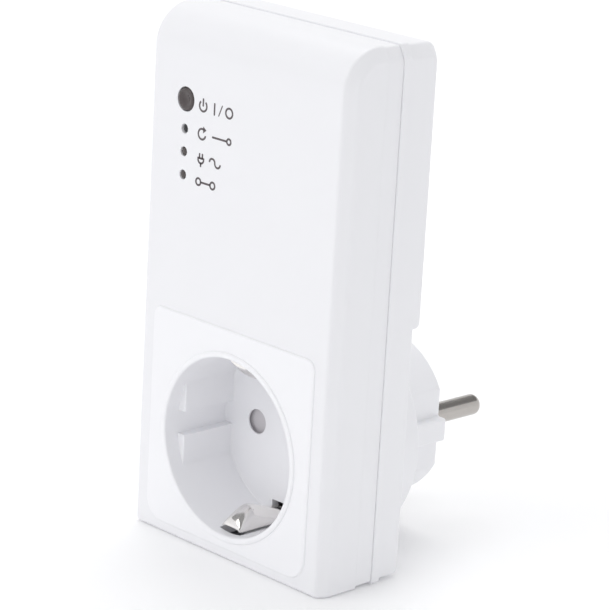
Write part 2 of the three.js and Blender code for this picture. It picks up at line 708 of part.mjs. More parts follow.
add("on_off_button", onOffButton(), finish.button);
add("on_off_switch_body", pushSwitch(BUTTON.z, 3, -34.4, 2), finish.black);
add("on_off_switch_plunger", bar(1.7, -35.7, -33.1, CONTROL_X, BUTTON.z), finish.black);
add("reboot_switch_body", pushSwitch(REBOOT_Z, 2.3, -35.5, 1.2), finish.black);
add("reboot_switch_plunger", bar(0.85, FRONT + 0.3, -34, CONTROL_X, REBOOT_Z, 16), finish.black);
add("power_lamp", box([CONTROL_X - 0.8, CONTROL_X + 0.8], [-31.7, ON_BOARD], [61.6, 62.4]), finish.lamp);
add("link_lamp", box([CONTROL_X - 0.8, CONTROL_X + 0.8], [-31.7, ON_BOARD], [56.5, 57.3]), finish.lamp);
add("power_light_guide", lightGuide(POWER_LAMP_Z), finish.clear);
add("link_light_guide", lightGuide(LINK_LAMP_Z), finish.clear);

add("main_board", mainBoard(), finish.board);
add("ethernet_jack", ethernetJack(), finish.tin);
add("ethernet_jack_contacts", jackContacts(), finish.brass);
add("ethernet_transformer", blockPart([-7.5, -0.5], 3.2, [38.6, 51]), finish.black);
add("powerline_chip", box([-8, 4], [BEHIND_BOARD, -27.4], [62, 74]), finish.black);
add("chip_heatsink", heatsink(), finish.aluminium);
add("memory_chip", box([12, 18], [BEHIND_BOARD, -27.2], [64, 72]), finish.black);
add("crystal", box([-18, -14], [BEHIND_BOARD, -27.6], [64, 75]), finish.tin);
add("signal_transformer", blockPart([-9, -1], 7, [57, 66]), finish.ferrite);
add("signal_capacitor", blockPart([-8, 0.5], 10, [71, 84], 1), finish.yellow);

add("fuse", electrolytic(17, 26.5, 2.6, 41), finish.ceramic);
add("varistor", varistor(), finish.blue);
add("mains_filter_capacitor", blockPart([10, 27], 11.5, [26, 32.8], 1), finish.yellow);
add("common_mode_choke", choke(), finish.copper);
add("bridge_rectifier", blockPart([1.5, 7.5], 3, [39.5, 47]), finish.black);
add("bulk_capacitor", electrolytic(3, 24, 5.2, 53), finish.black);
add("flyback_transformer", flyback(), finish.ferrite);
add("output_capacitor", bar(3.6, ON_BOARD - 11, ON_BOARD, 23.2, 72, 20), finish.black);

export default adapter;
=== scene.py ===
"""Looks of a powerline network adapter with a pass-through earthed socket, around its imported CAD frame.

Metres, in the frame's own axes: +Y runs along the plug's pins into the wall, +Z is up, and the
socket faces -Y.
"""

import json
import math

import bmesh
import bpy
from mathutils import Matrix, Vector


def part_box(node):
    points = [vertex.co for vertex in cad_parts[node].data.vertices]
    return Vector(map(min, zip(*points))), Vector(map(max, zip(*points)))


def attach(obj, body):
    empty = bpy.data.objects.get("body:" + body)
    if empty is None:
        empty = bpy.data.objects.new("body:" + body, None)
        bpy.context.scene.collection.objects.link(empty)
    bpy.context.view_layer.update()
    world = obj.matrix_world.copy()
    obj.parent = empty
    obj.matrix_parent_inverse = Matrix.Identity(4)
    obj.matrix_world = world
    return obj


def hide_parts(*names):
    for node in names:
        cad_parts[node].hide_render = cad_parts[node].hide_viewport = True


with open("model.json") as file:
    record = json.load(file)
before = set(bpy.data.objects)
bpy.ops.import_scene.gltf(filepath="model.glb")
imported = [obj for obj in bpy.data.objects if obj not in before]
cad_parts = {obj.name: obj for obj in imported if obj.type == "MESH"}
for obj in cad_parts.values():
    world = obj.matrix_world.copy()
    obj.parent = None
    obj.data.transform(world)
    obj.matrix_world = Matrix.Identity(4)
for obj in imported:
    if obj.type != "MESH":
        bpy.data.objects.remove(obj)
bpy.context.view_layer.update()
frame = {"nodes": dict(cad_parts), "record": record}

MM = 0.001
CASE = "case"

# ---- Places taken from the frame -----------------------------------------------------------
cover_low, cover_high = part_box("front_cover")
back_low, back_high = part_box("back_cover")
insert_low, insert_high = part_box("socket_insert")
plug_low, plug_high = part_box("plug_body")
button_low, button_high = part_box("on_off_button")
jack_low, jack_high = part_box("ethernet_jack")
pin_low, pin_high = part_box("plug_pin_right")

HALF_WIDTH = cover_high.x
BOTTOM, TOP = cover_low.z, cover_high.z
FACE = cover_low.y
CENTRE_TOP = (BOTTOM + TOP) / 2
CONTROL_X = (button_low.x + button_high.x) / 2
PIN_X = (pin_low.x + pin_high.x) / 2

# ---- Sizes of the visible shells, in metres -------------------------------------------------
SEAM_FRONT = FACE + 11.0 * MM
SEAM_REAR = FACE + 15.7 * MM
SEAM_GAP = 0.03 * MM  # half the open width of a seam line
SEAM_ROUND = 0.28 * MM
WALL = 2.2 * MM
CORNER = 3 * MM  # rounding of the hollow inside
SIDE_EDGE = (1.6 * MM, 2.9 * MM)  # how far the chamfered upright edges reach across and back
TOP_EDGE = (8.8 * MM, 9.4 * MM)  # height and depth of the top's round
LOW_EDGE = (0.9 * MM, 1.0 * MM)
SIDE_FOOT = 0.7 * MM  # rounding where the sides meet the bottom
BAND_SKIN = 0.35 * MM  # how far the middle band stands inside the covers
REAR_STEP = 0.5 * MM
REAR_LOWER = FACE + 24.3 * MM
REAR_UPPER = back_high.y - 6.3 * MM
REAR_STEP_Z = 30.4 * MM

RECESS_R = 19.9 * MM
CUP_R = 21.9 * MM
SOCKET_FLOOR = FACE + 17.4 * MM
FLOOR_BACK = SOCKET_FLOOR + 2 * MM
LEDGE_X = 17.5 * MM
LEDGE_Y = FACE + 3 * MM
GROOVE_Z = 2.75 * MM
PIN_HOLE_R = 2.8 * MM
POCKET_R = 14.9 * MM
SLOT_X = 3.3 * MM
PLATE_PROUD = 0.35 * MM

PLUG_R = 18.6 * MM
PLUG_FLAT_X = 16.4 * MM
RIB_X, RIB_Z = 18.7 * MM, 2.6 * MM
PLATEAU_R = 26.2 * MM
PLATEAU_LOW = -24.4 * MM


# ---- Mesh building ---------------------------------------------------------------------------
def mesh_object(name, verts, faces):
    mesh = bpy.data.meshes.new(name)
    mesh.from_pydata([tuple(v) for v in verts], [], faces)
    shape = bmesh.new()
    shape.from_mesh(mesh)
    bmesh.ops.remove_doubles(shape, verts=shape.verts, dist=1e-7)
    bmesh.ops.recalc_face_normals(shape, faces=shape.faces)
    shape.to_mesh(mesh)
    shape.free()
    obj = bpy.data.objects.new(name, mesh)
    bpy.context.scene.collection.objects.link(obj)
    return obj


def loft(name, loops, ring=False, capped=True):
    """A skin over loops of equal length: its ends are capped, left open, or joined for a ring."""
    count = len(loops[0])
    faces = []
    for i in range(len(loops) if ring else len(loops) - 1):
        here, there = i * count, (i + 1) % len(loops) * count
        for k in range(count):
            after = (k + 1) % count
            faces.append((here + k, here + after, there + after, there + k))
    if capped and not ring:
        last = (len(loops) - 1) * count
        faces += [tuple(range(count)), tuple(range(last, last + count))]
    return mesh_object(name, [point for loop in loops for point in loop], faces)


def turned(name, profile, x=0.0, z=0.0, sides=96, ring=False):
    """A solid of revolution about a line along Y. The profile is a list of (radius, y), from axis to axis
    unless it is a ring's closed section."""
    turn = full_turn(sides)
    loops = [[Vector((x + r * math.cos(a), y, z + r * math.sin(a))) for a in turn] for r, y in profile]
    return loft(name, loops, ring, capped=False)


def full_turn(steps):
    return [2 * math.pi * k / steps for k in range(steps)]


def quarter(steps):
    return [math.pi / 2 * k / steps for k in range(steps + 1)]


def quarter_round(depth, steps):
    """From a face round its edge to the side: (setback of the side, depth below the face)."""
    return [(depth * (1 - math.sin(t)), depth * (1 - math.cos(t))) for t in quarter(steps)]


def arc(centre, radius, start, end, steps):
    """Points on an arc in a plane, with angles in degrees."""
    angles = [math.radians(start + (end - start) * k / steps) for k in range(steps + 1)]
    return [(centre[0] + radius * math.cos(a), centre[1] + radius * math.sin(a)) for a in angles]


def rounded_rect(u0, u1, v0, v1, low_round, high_round=None, steps=8):
    """A function from an inset to the outline's points, so that insets of one outline match."""
    high_round = low_round if high_round is None else high_round

    def outline(inset):
        low, high = max(low_round - inset, 0.05 * MM), max(high_round - inset, 0.05 * MM)
        a, b, c, d = u0 + inset, u1 - inset, v0 + inset, v1 - inset
        return (
            arc((b - low, c + low), low, -90, 0, steps)
            + arc((b - high, d - high), high, 0, 90, steps)
            + arc((a + high, d - high), high, 90, 180, steps)
            + arc((a + low, c + low), low, 180, 270, steps)
        )

    return outline


def stack(name, outline, levels, ring=False):
    """A loft along Y of one outline at (inset, y) levels."""
    return loft(name, [[Vector((u, y, v)) for u, v in outline(inset)] for inset, y in levels], ring)


def stack_x(name, outline, levels):
    """A loft along X of an outline in (y, z) at (inset, x) levels."""
    return loft(name, [[Vector((x, u, v)) for u, v in outline(inset)] for inset, x in levels])


def slab_levels(y0, y1, round0=0.0, round1=0.0, steps=5):
    """Levels of a slab whose two edges are rounded by round0 and round1."""
    first, last = [(0, y0)], [(0, y1)]
    if round0:
        first = [(back, y0 + deep) for back, deep in quarter_round(round0, steps)]
    if round1:
        last = [(back, y1 - deep) for back, deep in reversed(quarter_round(round1, steps))]
    return first + last


def flared_hole(name, radius, mouth, end, flare, x, z, sides=64):
    """A round cutter along Y whose mouth opens into the surface with a small round."""
    side = 1 if end > mouth else -1
    wall = [(radius + back, mouth + side * deep) for back, deep in quarter_round(flare, 5)]
    outside = mouth - side * MM
    profile = [(0, outside), (radius + flare, outside), *wall, (radius, end), (0, end)]
    return turned(name, profile, x, z, sides)


def combine(obj, operation, tools):
    for tool in tools:
        step = obj.modifiers.new("combine", "BOOLEAN")
        step.operation = operation
        step.solver = "EXACT"
        step.object = tool
        evaluated = obj.evaluated_get(bpy.context.evaluated_depsgraph_get())
        result = bpy.data.meshes.new_from_object(evaluated)
        obj.modifiers.clear()
        obj.data = result
        bpy.data.objects.remove(tool)
    return obj


def cut(obj, *tools):
    return combine(obj, "DIFFERENCE", tools)


def join(obj, *others):
    return combine(obj, "UNION", others)


def finish_piece(obj, body, slot, nodes=(), sharp=33):
    """Smooth faces with crisp edges, the slot's material, and the piece's place in the frame."""
    mesh = obj.data
    mesh.shade_smooth()
    mesh.set_sharp_from_angle(angle=math.radians(sharp))
    weights = obj.modifiers.new("face_weights", "WEIGHTED_NORMAL")
    weights.keep_sharp = True
    mesh.materials.clear()
    mesh.materials.append(LOOKS[slot])
    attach(obj, body)
    if nodes:
        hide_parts(*nodes)
    return obj


# ---- Materials -------------------------------------------------------------------------------
def principled(name, colour, roughness, metallic=0.0, **sockets):
    material = bpy.data.materials.new(name)
    material.use_nodes = True
    shader = material.node_tree.nodes["Principled BSDF"]
    shader.inputs["Base Color"].default_value = (*colour, 1)
    shader.inputs["Roughness"].default_value = roughness
    shader.inputs["Metallic"].default_value = metallic
    for socket, value in sockets.items():
        shader.inputs[socket.replace("_", " ")].default_value = value
    return material


def texture(material, kind, scale, stretch=(1, 1, 1), **settings):
    """A procedural texture on the object's own coordinates."""
    nodes, links = material.node_tree.nodes, material.node_tree.links
    place = nodes.new("ShaderNodeTexCoord")
    mapping = nodes.new("ShaderNodeMapping")
    mapping.inputs["Scale"].default_value = stretch
    links.new(place.outputs["Object"], mapping.inputs["Vector"])
    node = nodes.new(kind)
    links.new(mapping.outputs["Vector"], node.inputs["Vector"])
    node.inputs["Scale"].default_value = scale
    for socket, value in settings.items():
        node.inputs[socket].default_value = value
    return node


def vary_roughness(material, source, low, high):
    nodes, links = material.node_tree.nodes, material.node_tree.links
    spread = nodes.new("ShaderNodeMapRange")
    spread.inputs["From Min"].default_value = 0.15
    spread.inputs["From Max"].default_value = 0.85
    spread.inputs["To Min"].default_value = low
    spread.inputs["To Max"].default_value = high
    links.new(source, spread.inputs["Value"])
    links.new(spread.outputs["Result"], nodes["Principled BSDF"].inputs["Roughness"])


def vary_colour(material, source, first, second):
    nodes, links = material.node_tree.nodes, material.node_tree.links
    ramp = nodes.new("ShaderNodeValToRGB")
    ramp.color_ramp.elements[0].position = 0.2
    ramp.color_ramp.elements[1].position = 0.8
    ramp.color_ramp.elements[0].color = (*first, 1)
    ramp.color_ramp.elements[1].color = (*second, 1)
    links.new(source, ramp.inputs["Fac"])
    links.new(ramp.outputs["Color"], nodes["Principled BSDF"].inputs["Base Color"])


def add_bump(material, source, strength, height):
    nodes, links = material.node_tree.nodes, material.node_tree.links
    bump = nodes.new("ShaderNodeBump")
    bump.inputs["Strength"].default_value = strength
    bump.inputs["Distance"].default_value = height
    links.new(source, bump.inputs["Height"])
    links.new(bump.outputs["Normal"], nodes["Principled BSDF"].inputs["Normal"])


def moulded(name, colour, roughness, grain=0.25, spread=0.03, mottle=0.005):
    """Injection-moulded plastic: fine spark-eroded grain, slight sheen changes and a faint flow mottle."""
    material = principled(name, colour, roughness, IOR=1.5)
    broad = texture(material, "ShaderNodeTexNoise", 60, Detail=3.0, Roughness=0.5)
    fine = texture(material, "ShaderNodeTexNoise", 5200, Detail=2.0, Roughness=0.6)
    vary_roughness(material, broad.outputs["Fac"], roughness - spread, roughness + spread)
    darker = [max(c - mottle, 0) for c in colour]
    vary_colour(material, broad.outputs["Fac"], darker, colour)
    add_bump(material, fine.outputs["Fac"], grain, 0.01 * MM)
    return material


def metal(name, colour, roughness, stretch, scale=900, spread=0.08, wear=0.05):
    """Plated or drawn metal with fine marks along one direction and a slight tarnish."""
    material = principled(name, colour, roughness, metallic=1.0)
    marks = texture(material, "ShaderNodeTexNoise", scale, stretch, Detail=4.0, Roughness=0.6)
    patches = texture(material, "ShaderNodeTexNoise", 180, Detail=3.0)
    vary_roughness(material, marks.outputs["Fac"], max(roughness - spread, 0.04), roughness + spread)
    vary_colour(material, patches.outputs["Fac"], [c * (1 - wear) for c in colour], colour)
    add_bump(material, marks.outputs["Fac"], 0.12, 0.006 * MM)
    return material


def coated(name, colour, roughness, second, scale, height, **sockets):
    """A component's body: two close colours in patches, and a slight surface unevenness."""
    material = principled(name, colour, roughness, **sockets)
    patches = texture(material, "ShaderNodeTexNoise", scale, Detail=5.0, Roughness=0.6)
    vary_colour(material, patches.outputs["Fac"], colour, second)
    vary_roughness(material, patches.outputs["Fac"], roughness - 0.05, roughness + 0.07)
    add_bump(material, patches.outputs["Fac"], 0.2, height)
    return material


def board_material():
    """Solder mask with faint copper tracks showing under it."""
    material = principled("board_mask", (0.02, 0.13, 0.05), 0.35, Coat_Weight=0.3)
    tracks = texture(material, "ShaderNodeTexBrick", 320)
    tracks.inputs["Color1"].default_value = (0.015, 0.11, 0.04, 1)
    tracks.inputs["Color2"].default_value = (0.02, 0.14, 0.055, 1)
    tracks.inputs["Mortar"].default_value = (0.035, 0.2, 0.08, 1)
    tracks.inputs["Mortar Size"].default_value = 0.06
    links = material.node_tree.links
    links.new(tracks.outputs["Color"], material.node_tree.nodes["Principled BSDF"].inputs["Base Color"])
    add_bump(material, tracks.outputs["Fac"], 0.2, 0.02 * MM)
    return material


LOOKS = {
    "case_white": moulded("case_plastic", (0.845, 0.845, 0.865), 0.36),
    "socket_white": moulded("socket_plastic", (0.885, 0.885, 0.905), 0.32, grain=0.12),
    "button_grey": moulded("button_plastic", (0.075, 0.062, 0.062), 0.24, grain=0.1, mottle=0.01),
    "shutter_grey": moulded("shutter_plastic", (0.62, 0.6, 0.62), 0.45, mottle=0.03),
    "nickel": metal("nickel_plate", (0.50, 0.475, 0.45), 0.2, (1, 0.12, 1)),
    "brass_contact": metal("contact_brass", (0.72, 0.5, 0.2), 0.28, (0.15, 1, 1)),
    "spring_steel": metal("spring_wire", (0.42, 0.42, 0.44), 0.3, (1, 1, 1)),
    "screw_steel": metal("zinc_plate", (0.45, 0.46, 0.48), 0.32, (1, 1, 1), wear=0.12),
    "tinned_steel": metal("tin_plate", (0.62, 0.63, 0.64), 0.3, (1, 1, 0.2)),
    "clear_plastic": coated("smoked_lens", (0.05, 0.042, 0.04), 0.12, (0.07, 0.058, 0.055), 400, 0.002 * MM),
    "lamp": coated("lamp_resin", (0.75, 0.66, 0.35), 0.3, (0.8, 0.72, 0.42), 900, 0.004 * MM),
    "board_green": board_material(),
    "black_plastic": moulded("black_plastic", (0.022, 0.022, 0.025), 0.45, mottle=0.006),
    "ferrite": coated("ferrite", (0.035, 0.034, 0.036), 0.6, (0.06, 0.058, 0.06), 1500, 0.02 * MM),
    "copper_winding": metal("enamelled_copper", (0.55, 0.22, 0.08), 0.3, (1, 1, 0.1), scale=1600),
    "aluminium": metal("extruded_aluminium", (0.66, 0.67, 0.69), 0.34, (1, 1, 0.08)),
    "sleeve_black": coated("can_sleeve", (0.02, 0.022, 0.03), 0.28, (0.03, 0.033, 0.045), 500, 0.006 * MM),
    "yellow_box": coated("potted_box", (0.66, 0.43, 0.06), 0.42, (0.7, 0.48, 0.08), 700, 0.01 * MM),
    "blue_coat": coated("dipped_coating", (0.03, 0.1, 0.3), 0.32, (0.04, 0.13, 0.36), 800, 0.02 * MM),
    "brown_sleeve": coated(
        "wire_insulation", (0.11, 0.045, 0.02), 0.4, (0.13, 0.055, 0.025), 900, 0.005 * MM
    ),
    "fuse_ceramic": coated("fuse_tube", (0.7, 0.7, 0.66), 0.4, (0.75, 0.75, 0.7), 700, 0.01 * MM),
}
CLIP_METAL = metal("bright_nickel", (0.88, 0.86, 0.84), 0.16, (1, 0.12, 1), wear=0.03)
INK = coated("printed_ink", (0.085, 0.072, 0.077), 0.5, (0.12, 0.1, 0.105), 2500, 0.002 * MM)


# ---- Case shells -----------------------------------------------------------------------------
def subdivided(points, step):
    """The same path with extra points, none further apart than step."""
    result = [points[0]]
    for before, after in zip(points, points[1:]):
        parts = max(math.ceil((after - before).length / step), 1)
        result += [before.lerp(after, k / parts) for k in range(1, parts + 1)]
    return result


def eased(path, ease, steps=6):
    """A path whose corners are replaced by short curves."""
    path = [Vector(point) for point in path]
    points = [path[0]]
    for before, at, after in zip(path, path[1:], path[2:]):
        reach = min(ease, (before - at).length / 2.2, (after - at).length / 2.2)
        start, end = at + (before - at).normalized() * reach, at + (after - at).normalized() * reach
        for k in range(steps + 1):
            t = k / steps
            points.append(start * (1 - t) ** 2 + at * 2 * t * (1 - t) + end * t**2)
    return points + [path[-1]]


def soft(radius, depth):
    """How far a rounded edge stands back at this depth below its side."""
    return radius - math.sqrt(radius**2 - (radius - depth) ** 2) if depth < radius else 0.0


def side_levels():
    """From the side plane over its chamfer: (depth below the side, setback of the upright edges)."""
    across, deep = SIDE_EDGE
    run, ease, step = 3 * MM, 0.55 * MM, 0.13 * MM
    path = [(0, deep + run), (0, deep), (across, 0), (across + run, 0)]
    return subdivided(eased(path, ease)[1:-1], step)


def section(y0, y1, z0, z1, rear_top, front_top, front_low, rear_low, steps=4, top_steps=14):
    """A rectangle in (y, z) with its own (y, z) rounding at each corner."""

    def corner(y, z, radii, start, count):
        return [
            (y + radii[0] * math.cos(a), z + radii[1] * math.sin(a))
            for a in (math.radians(start + 90 * k / count) for k in range(count + 1))
        ]

    return (
        corner(y1 - rear_top[0], z1 - rear_top[1], rear_top, 0, steps)
        + corner(y0 + front_top[0], z1 - front_top[1], front_top, 90, top_steps)
        + corner(y0 + front_low[0], z0 + front_low[1], front_low, 180, steps)
        + corner(y1 - rear_low[0], z0 + rear_low[1], rear_low, 270, steps)
    )


def case_form(name, half, outline):
    """A loft from side to side of outline(setback, depth), with both sides chamfered alike."""
    right = [(half - depth, outline(setback, depth)) for depth, setback in side_levels()]
    levels = right + [(-x, points) for x, points in reversed(right)]
    return loft(name, [[Vector((x, y, z)) for y, z in points] for x, points in levels])


def cover_outline(inset, seam, lip):
    """The front cover's section, smaller by inset: a deep round at the top and a small one below."""
    top, low, least = TOP_EDGE, LOW_EDGE, 0.5 * MM

    def outline(setback, depth):
        rear = seam - soft(lip, depth)
        base = BOTTOM + inset + soft(SIDE_FOOT, depth)
        back = inset + setback
        front_top = (max(top[1] - back, least), max(top[0] - back, least))
        edge = (lip, lip)
        return section(FACE + back, rear, base, TOP - back, edge, front_top, low, edge)

    return outline


def jack_window(name):
    """The opening in the left side for the network jack, with softened edges."""
    play, flare, out = 0.25 * MM, 0.35 * MM, -HALF_WIDTH
    y0, y1 = jack_low.y - play, jack_high.y + play
    outline = rounded_rect(y0, y1, jack_low.z - play, jack_high.z + play, 0.5 * MM)
    levels = [(-flare, out - MM)]
    levels += [(-back, out + deep) for back, deep in quarter_round(flare, 4)]
    levels.append((0, out + 5 * MM))
    return stack_x(name, outline, levels)


def plate_outline(inset):
    low_round, high_round = 5 * MM, 2.5 * MM
    plate = rounded_rect(insert_low.x, insert_high.x, insert_low.z, insert_high.z, low_round, high_round, 12)
    return plate(inset)


def front_cover():
    shell = case_form("front_cover_shell", HALF_WIDTH, cover_outline(0, SEAM_FRONT - SEAM_GAP, SEAM_ROUND))
    hollow = case_form("hollow", HALF_WIDTH - WALL, cover_outline(WALL, SEAM_FRONT + MM, 0.05 * MM))
    opening, through = CUP_R + 0.1 * MM, FACE + 4 * MM
    tools = [
        hollow,
        stack("seat", plate_outline, [(0, FACE - MM), (0, FACE + 1.35 * MM)]),
        turned("opening", [(0, FACE - MM), (opening, FACE - MM), (opening, through), (0, through)]),
    ]
    button_z = (button_low.z + button_high.z) / 2
    tools.append(flared_hole("button_hole", 2.68 * MM, FACE, through, 0.12 * MM, CONTROL_X, button_z))
    for node in ("reboot_switch_plunger", "power_light_guide", "link_light_guide"):
        low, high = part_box(node)
        z = (low.z + high.z) / 2
        tools.append(flared_hole("lamp_hole", 1.06 * MM, FACE, through, 0.07 * MM, CONTROL_X, z, 40))
    tools.append(jack_window("window"))
    # The notch for prying the case open, in the bottom edge near the right corner
    y0, y1, top = FACE + 8.3 * MM, FACE + 9.9 * MM, BOTTOM + 0.55 * MM
    notch = rounded_rect(y0, y1, BOTTOM - MM, top, 0.2 * MM, 0.4 * MM, 4)
    tools.append(stack_x("notch", notch, [(0, 20 * MM), (0, 29.3 * MM)]))
    cut(shell, *tools)
    return finish_piece(shell, CASE, "case_white", ["front_cover"])


def middle_band():
    """A ring set back from the covers' outsides, with a tongue behind them on both sides."""
    y0, y1 = SEAM_FRONT + SEAM_GAP, SEAM_REAR - SEAM_GAP
    edge = (0.15 * MM, 0.15 * MM)

    def outline(setback, depth):
        base = BOTTOM + BAND_SKIN + soft(SIDE_FOOT, depth)
        return section(y0, y1, base, TOP - BAND_SKIN - setback, edge, edge, edge, edge, top_steps=4)

    band = case_form("middle_band_ring", HALF_WIDTH - BAND_SKIN, outline)
    inside = rounded_rect(-HALF_WIDTH, HALF_WIDTH, BOTTOM, TOP, CORNER)
    tongue_out, tongue_in, reach = WALL + 0.2 * MM, WALL + MM, 1.7 * MM
    tongue = [
        (tongue_out, y0 - reach),
        (tongue_out, y1 + reach),
        (tongue_in, y1 + reach),
        (tongue_in, y0 - reach),
    ]
    hollow = WALL + 0.3 * MM
    cut(band, stack("inside", inside, [(hollow, y0 - 2 * MM), (hollow, y1 + 2 * MM)]))
    join(band, stack("tongue", inside, tongue, ring=True))
    cut(band, jack_window("window"))
    return finish_piece(band, CASE, "case_white", ["middle_band"])


def back_body():
    """The back cover's deep part, whose rear wall steps out above the plug."""
    front, edge, foot = SEAM_REAR + MM, 1.0 * MM, 0.8 * MM
    low_round, step_round, end_round = 1.2 * MM, 1.1 * MM, 2.0 * MM

    def outline(setback, depth):
        back = soft(edge, depth)
        high, low = TOP - REAR_STEP - setback, BOTTOM + REAR_STEP + soft(foot, depth)
        upper, lower = REAR_UPPER - back, REAR_LOWER - back
        points = [(front, low), *arc((lower - low_round, low + low_round), low_round, -90, 0, 5)]
        points.append((lower, REAR_STEP_Z))
        points += arc((upper - step_round, REAR_STEP_Z + step_round), step_round, -90, 0, 6)
        points += arc((upper - end_round, high - end_round), end_round, 0, 90, 7)
        return points + [(front, high)]

    return case_form("body", HALF_WIDTH - REAR_STEP, outline)


def plateau_outline(inset):
    """A round, cut flat just above the case's lower edge."""
    radius, low = PLATEAU_R - inset, PLATEAU_LOW + inset
    return [(radius * math.cos(a), max(radius * math.sin(a), low)) for a in full_turn(144)]


def plug_outline(inset):
    """Round the plug: two arcs, two side flats and the rib that stands out of each flat."""
    radius, flat = PLUG_R - inset, PLUG_FLAT_X - inset
    rib_x, rib_z = RIB_X - inset, RIB_Z - inset * 0.6
    top = math.degrees(math.acos(flat / radius))
    foot = 0.45 * MM

    def side(angle):
        """One side, drawn for the right and then turned half round for the left."""
        points = [(flat, -rib_z - foot), *arc((flat + foot, -rib_z - foot), foot, 180, 90, 3)[1:]]
        points += arc((rib_x - foot, -rib_z + foot), foot, -90, 0, 4)
        points += arc((rib_x - foot, rib_z - foot), foot, 0, 90, 4)
        points += arc((flat + foot, rib_z + foot), foot, -90, -180, 3)
        points += arc((0, 0), radius, top, 180 - top, 40)
        cos, sin = math.cos(angle), math.sin(angle)
        return [(u * cos - v * sin, u * sin + v * cos) for u, v in points]

    return side(0) + side(math.pi)


def screw_places():
    for place in ("left_lower", "left_upper", "right_lower", "right_upper"):
        low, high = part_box(f"case_screw_{place}")
        yield place, (low.x + high.x) / 2, (low.z + high.z) / 2, low.y, high.y


def back_cover():
    rim_end = FACE + 17.95 * MM
    lip, soft_edge = (SEAM_ROUND, SEAM_ROUND), (0.22 * MM, 0.22 * MM)

    def rim_outline(setback, depth):
        start = SEAM_REAR + SEAM_GAP + soft(SEAM_ROUND, depth)
        base = BOTTOM + soft(SIDE_FOOT, depth)
        return section(start, rim_end, base, TOP - setback, soft_edge, lip, lip, soft_edge, top_steps=4)

    shell = case_form("back_cover_shell", HALF_WIDTH, rim_outline)
    face, edge = back_high.y, 0.8 * MM
    plateau_side = [(back, face - deep) for back, deep in reversed(quarter_round(edge, 7))]
    plateau = stack("plateau", plateau_outline, [(0, REAR_LOWER - MM), *plateau_side])
    join(shell, back_body(), plateau)
    inside = rounded_rect(-HALF_WIDTH, HALF_WIDTH, BOTTOM, TOP, CORNER)
    thick, side = WALL + 0.6 * MM, HALF_WIDTH - 2 * WALL
    upper = rounded_rect(-side, side, REAR_STEP_Z + WALL, TOP - 2 * WALL, MM)
    play, flare, well_in = 0.06 * MM, 0.22 * MM, 3.6 * MM
    tools = [
        stack("hollow", inside, [(thick, SEAM_REAR - MM), (thick, REAR_LOWER - WALL)]),
        stack("deep", upper, [(0, REAR_LOWER - 2 * WALL), (0, REAR_UPPER - WALL)]),
        stack("well", plateau_outline, [(well_in, SOCKET_FLOOR), (well_in, face - WALL)]),
        stack("hole", plug_outline, [(-play, face - 4 * MM), (-play, face - 0.15 * MM), (-flare, face + MM)]),
    ]
    for _, x, z, _, _ in screw_places():
        rear = REAR_UPPER if z > REAR_STEP_Z else REAR_LOWER
        tools.append(flared_hole("bore", 2.9 * MM, rear, rear - 4.5 * MM, 0.3 * MM, x, z, 48))
    label = rounded_rect(-21 * MM, 21 * MM, 37 * MM, 78 * MM, 1.5 * MM)
    deep, bevel = REAR_UPPER - 0.3 * MM, 0.15 * MM
    tools.append(stack("label_recess", label, [(bevel, deep), (0, deep + bevel), (0, REAR_UPPER + MM)]))
    tools.append(jack_window("window"))
    cut(shell, *tools)
    return finish_piece(shell, CASE, "case_white", ["back_cover"])


def case_screws():
    """Cross-head screws: a pointed, threaded shank under a domed head."""
    head_r, shank, thread, pitch = 2.6 * MM, 1.4 * MM, 0.22 * MM, 0.9 * MM
    for place, x, z, tip, head in screw_places():
        seat = head - 1.9 * MM
        crown = seat + 0.7 * MM
        dome = [(head_r * math.cos(t * 0.75), crown + 1.15 * MM * math.sin(t * 0.75)) for t in quarter(6)]
        profile = [(0, tip), (shank * 0.4, tip + 0.5 * MM), (shank, tip + 2 * MM)]
        y = tip + 2 * MM
        while y < seat - 1.2 * MM:
            profile += [(shank, y), (shank + thread, y + pitch / 3), (shank, y + pitch * 2 / 3)]
            y += pitch
        top = dome[-1][1]
        profile += [(shank, seat), (head_r, seat), *dome, (0, top + 0.02 * MM)]
        screw = turned(f"case_screw_{place}_turned", profile, x, z, 40)
        for wide, tall in ((1.45 * MM, 0.32 * MM), (0.32 * MM, 1.45 * MM)):
            blade = rounded_rect(x - wide, x + wide, z - tall, z + tall, 0.1 * MM)
            cut(screw, stack("blade", blade, [(0.25 * MM, top - 1.1 * MM), (0, top + 0.3 * MM)]))
        finish_piece(screw, CASE, "screw_steel", [f"case_screw_{place}"])


# ---- Socket ----------------------------------------------------------------------------------
def recess_loop(radius, flat):
    """Round the recess: a circle held to x = flat on each side, apart from the guide groove through it."""
    groove, end = math.asin(GROOVE_Z / RECESS_R), math.acos(LEDGE_X / RECESS_R)

    def free(a):
        return (radius * math.cos(a), radius * math.sin(a))

    def held(a):
        return (math.copysign(min(abs(radius * math.cos(a)), flat), math.cos(a)), radius * math.sin(a))

    half = [free(groove * k / 4) for k in range(-4, 5)]
    half += [held(groove + (end - groove) * k / 8) for k in range(9)]
    half += [free(end + (math.pi - 2 * end) * k / 60) for k in range(1, 61)]
    half += [held(math.pi - end + (end - groove) * k / 8) for k in range(1, 9)]
    return half + [(-u, -v) for u, v in half]


